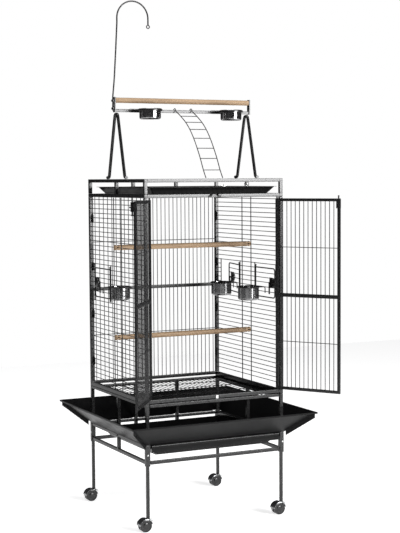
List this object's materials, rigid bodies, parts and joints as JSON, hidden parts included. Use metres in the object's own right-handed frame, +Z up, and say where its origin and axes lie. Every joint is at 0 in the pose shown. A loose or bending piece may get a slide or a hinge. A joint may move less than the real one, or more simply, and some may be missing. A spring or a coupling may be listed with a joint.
{
  "type": "play-top bird cage on a rolling stand",
  "caption": "Black play-top parrot cage on a four-legged rolling stand, with open double doors, seed guards, wooden perches, steel cups, ladder and toy hook.",
  "frame": {"origin": "centre of the model's box on the floor, with the doors open as stored", "axes": "+Z up, -Y towards the doors (front), +X to the right seen from the front"},
  "size_m": [0.9146, 0.934, 2.1198],
  "materials": {
    "frame_paint": "hammertone",
    "sheet_paint": "satin",
    "stainless": "polished",
    "perch_wood": "matte",
    "black_plastic": "matte",
    "caster_metal": "satin",
    "bright_fittings": "polished"
  },
  "bodies": {
    "cage": {"leg_front_left": "frame_paint", "leg_front_right": "frame_paint", "leg_rear_left": "frame_paint", "leg_rear_right": "frame_paint", "stand_left": "frame_paint", "stand_right": "frame_paint", "stand_back": "frame_paint", "front_stretcher": "frame_paint", "wall_left": "frame_paint", "wall_right": "frame_paint", "wall_back": "frame_paint", "front_sill": "frame_paint", "roof": "frame_paint", "play_frame": "frame_paint", "trestle_left": "frame_paint", "trestle_right": "frame_paint", "bracket_left": "frame_paint", "bracket_right": "frame_paint", "cup_rail": "frame_paint", "toy_hook": "frame_paint", "cup_ring_left": "frame_paint", "cup_ring_right": "frame_paint", "guard_front": "sheet_paint", "guard_back": "sheet_paint", "guard_left": "sheet_paint", "guard_right": "sheet_paint", "sill_keeper": "bright_fittings", "perch_upper": "perch_wood", "perch_lower": "perch_wood", "play_perch": "perch_wood"},
    "caster_front_left": {"caster_hood_front_left": "caster_metal"},
    "wheel_front_left": {"caster_wheel_front_left": "black_plastic"},
    "caster_front_right": {"caster_hood_front_right": "caster_metal"},
    "wheel_front_right": {"caster_wheel_front_right": "black_plastic"},
    "caster_rear_left": {"caster_hood_rear_left": "caster_metal"},
    "wheel_rear_left": {"caster_wheel_rear_left": "black_plastic"},
    "caster_rear_right": {"caster_hood_rear_right": "caster_metal"},
    "wheel_rear_right": {"caster_wheel_rear_right": "black_plastic"},
    "door_left": {"door_left": "frame_paint"},
    "bolt_left": {"bolt_left": "frame_paint"},
    "door_right": {"door_right": "frame_paint"},
    "bolt_right": {"bolt_right": "frame_paint"},
    "feeder_right_front": {"feeder_door_right_front": "frame_paint"},
    "knob_right_front": {"feeder_knob_right_front": "black_plastic"},
    "cup_right_front": {"feeder_cup_right_front": "stainless"},
    "feeder_right_rear": {"feeder_door_right_rear": "frame_paint"},
    "knob_right_rear": {"feeder_knob_right_rear": "black_plastic"},
    "cup_right_rear": {"feeder_cup_right_rear": "stainless"},
    "feeder_left_rear": {"feeder_door_left_rear": "frame_paint"},
    "knob_left_rear": {"feeder_knob_left_rear": "black_plastic"},
    "cup_left_rear": {"feeder_cup_left_rear": "stainless"},
    "floor_grate": {"floor_grate": "frame_paint"},
    "bottom_tray": {"bottom_tray": "sheet_paint"},
    "play_tray": {"play_tray": "sheet_paint", "wing_nut_front": "bright_fittings", "wing_nut_right": "bright_fittings"},
    "play_cup_left": {"play_cup_left": "stainless"},
    "play_cup_right": {"play_cup_right": "stainless"},
    "ladder": {"ladder": "frame_paint"}
  },
  "joints": [
    {"name": "caster_swivel_front_left", "type": "hinge", "parent": "cage", "child": "caster_front_left", "pos_m": [-0.29774, -0.22203, 0.07], "axis": [0, 0, 1], "continuous": true},
    {"name": "wheel_spin_front_left", "type": "hinge", "parent": "caster_front_left", "child": "wheel_front_left", "pos_m": [-0.31173, -0.22203, 0.025], "axis": [0, 1, 0], "continuous": true},
    {"name": "caster_swivel_front_right", "type": "hinge", "parent": "cage", "child": "caster_front_right", "pos_m": [0.30827, -0.22203, 0.07], "axis": [0, 0, 1], "continuous": true},
    {"name": "wheel_spin_front_right", "type": "hinge", "parent": "caster_front_right", "child": "wheel_front_right", "pos_m": [0.29426, -0.22203, 0.025], "axis": [0, 1, 0], "continuous": true},
    {"name": "caster_swivel_rear_left", "type": "hinge", "parent": "cage", "child": "caster_rear_left", "pos_m": [-0.29774, 0.35597, 0.07], "axis": [0, 0, 1], "continuous": true},
    {"name": "wheel_spin_rear_left", "type": "hinge", "parent": "caster_rear_left", "child": "wheel_rear_left", "pos_m": [-0.31173, 0.35597, 0.025], "axis": [0, 1, 0], "continuous": true},
    {"name": "caster_swivel_rear_right", "type": "hinge", "parent": "cage", "child": "caster_rear_right", "pos_m": [0.30827, 0.35597, 0.07], "axis": [0, 0, 1], "continuous": true},
    {"name": "wheel_spin_rear_right", "type": "hinge", "parent": "caster_rear_right", "child": "wheel_rear_right", "pos_m": [0.29426, 0.35597, 0.025], "axis": [0, 1, 0], "continuous": true},
    {"name": "door_hinge_left", "type": "hinge", "parent": "cage", "child": "door_left", "pos_m": [-0.28074, -0.22403, 0.918], "axis": [0, 0, 1], "range_deg": [0, 125.3]},
    {"name": "bolt_slide_left", "type": "slide", "parent": "door_left", "child": "bolt_left", "axis": [0, 0, 1], "range_m": [0, 0.008]},
    {"name": "door_hinge_right", "type": "hinge", "parent": "cage", "child": "door_right", "pos_m": [0.29126, -0.22403, 0.918], "axis": [0, 0, 1], "range_deg": [-122.5, 2.5]},
    {"name": "bolt_slide_right", "type": "slide", "parent": "door_right", "child": "bolt_right", "axis": [0, 0, 1], "range_m": [0, 0.008]},
    {"name": "feeder_hinge_right_front", "type": "hinge", "parent": "cage", "child": "feeder_right_front", "pos_m": [0.30927, -0.00702, 0.956], "axis": [0, 0, 1], "range_deg": [0, 90]},
    {"name": "knob_turn_right_front", "type": "hinge", "parent": "feeder_right_front", "child": "knob_right_front", "pos_m": [0.30927, -0.13703, 0.956], "axis": [1, 0, 0], "range_deg": [-90, 0]},
    {"name": "cup_lift_right_front", "type": "slide", "parent": "feeder_right_front", "child": "cup_right_front", "axis": [0, 0, 1], "range_m": [0, 0.08]},
    {"name": "feeder_hinge_right_rear", "type": "hinge", "parent": "cage", "child": "feeder_right_rear", "pos_m": [0.30927, 0.14097, 0.956], "axis": [0, 0, 1], "range_deg": [-78, 12]},
    {"name": "knob_turn_right_rear", "type": "hinge", "parent": "feeder_right_rear", "child": "knob_right_rear", "pos_m": [0.33629, 0.26813, 0.956], "axis": [0.9781, -0.2079, 0], "range_deg": [0, 90]},
    {"name": "cup_lift_right_rear", "type": "slide", "parent": "feeder_right_rear", "child": "cup_right_rear", "axis": [0, 0, 1], "range_m": [0, 0.08]},
    {"name": "feeder_hinge_left_rear", "type": "hinge", "parent": "cage", "child": "feeder_left_rear", "pos_m": [-0.29873, 0.14097, 0.956], "axis": [0, 0, 1], "range_deg": [0, 90]},
    {"name": "knob_turn_left_rear", "type": "hinge", "parent": "feeder_left_rear", "child": "knob_left_rear", "pos_m": [-0.29873, 0.27098, 0.956], "axis": [1, 0, 0], "range_deg": [0, 90]},
    {"name": "cup_lift_left_rear", "type": "slide", "parent": "feeder_left_rear", "child": "cup_left_rear", "axis": [0, 0, 1], "range_m": [0, 0.08]},
    {"name": "floor_grate_slide", "type": "slide", "parent": "cage", "child": "floor_grate", "axis": [0, -1, 0], "range_m": [0, 0.45]},
    {"name": "bottom_tray_slide", "type": "slide", "parent": "cage", "child": "bottom_tray", "axis": [0, -1, 0], "range_m": [0, 0.45]},
    {"name": "play_tray_slide", "type": "slide", "parent": "cage", "child": "play_tray", "axis": [0, -1, 0], "range_m": [0, 0.45]},
    {"name": "play_cup_lift_left", "type": "slide", "parent": "cage", "child": "play_cup_left", "axis": [0, 0, 1], "range_m": [0, 0.06]},
    {"name": "play_cup_lift_right", "type": "slide", "parent": "cage", "child": "play_cup_right", "axis": [0, 0, 1], "range_m": [0, 0.06]},
    {"name": "ladder_hook", "type": "hinge", "parent": "cage", "child": "ladder", "pos_m": [0.00526, 0.06698, 1.6723], "axis": [1, 0, 0], "range_deg": [-60, 0]}
  ]
}
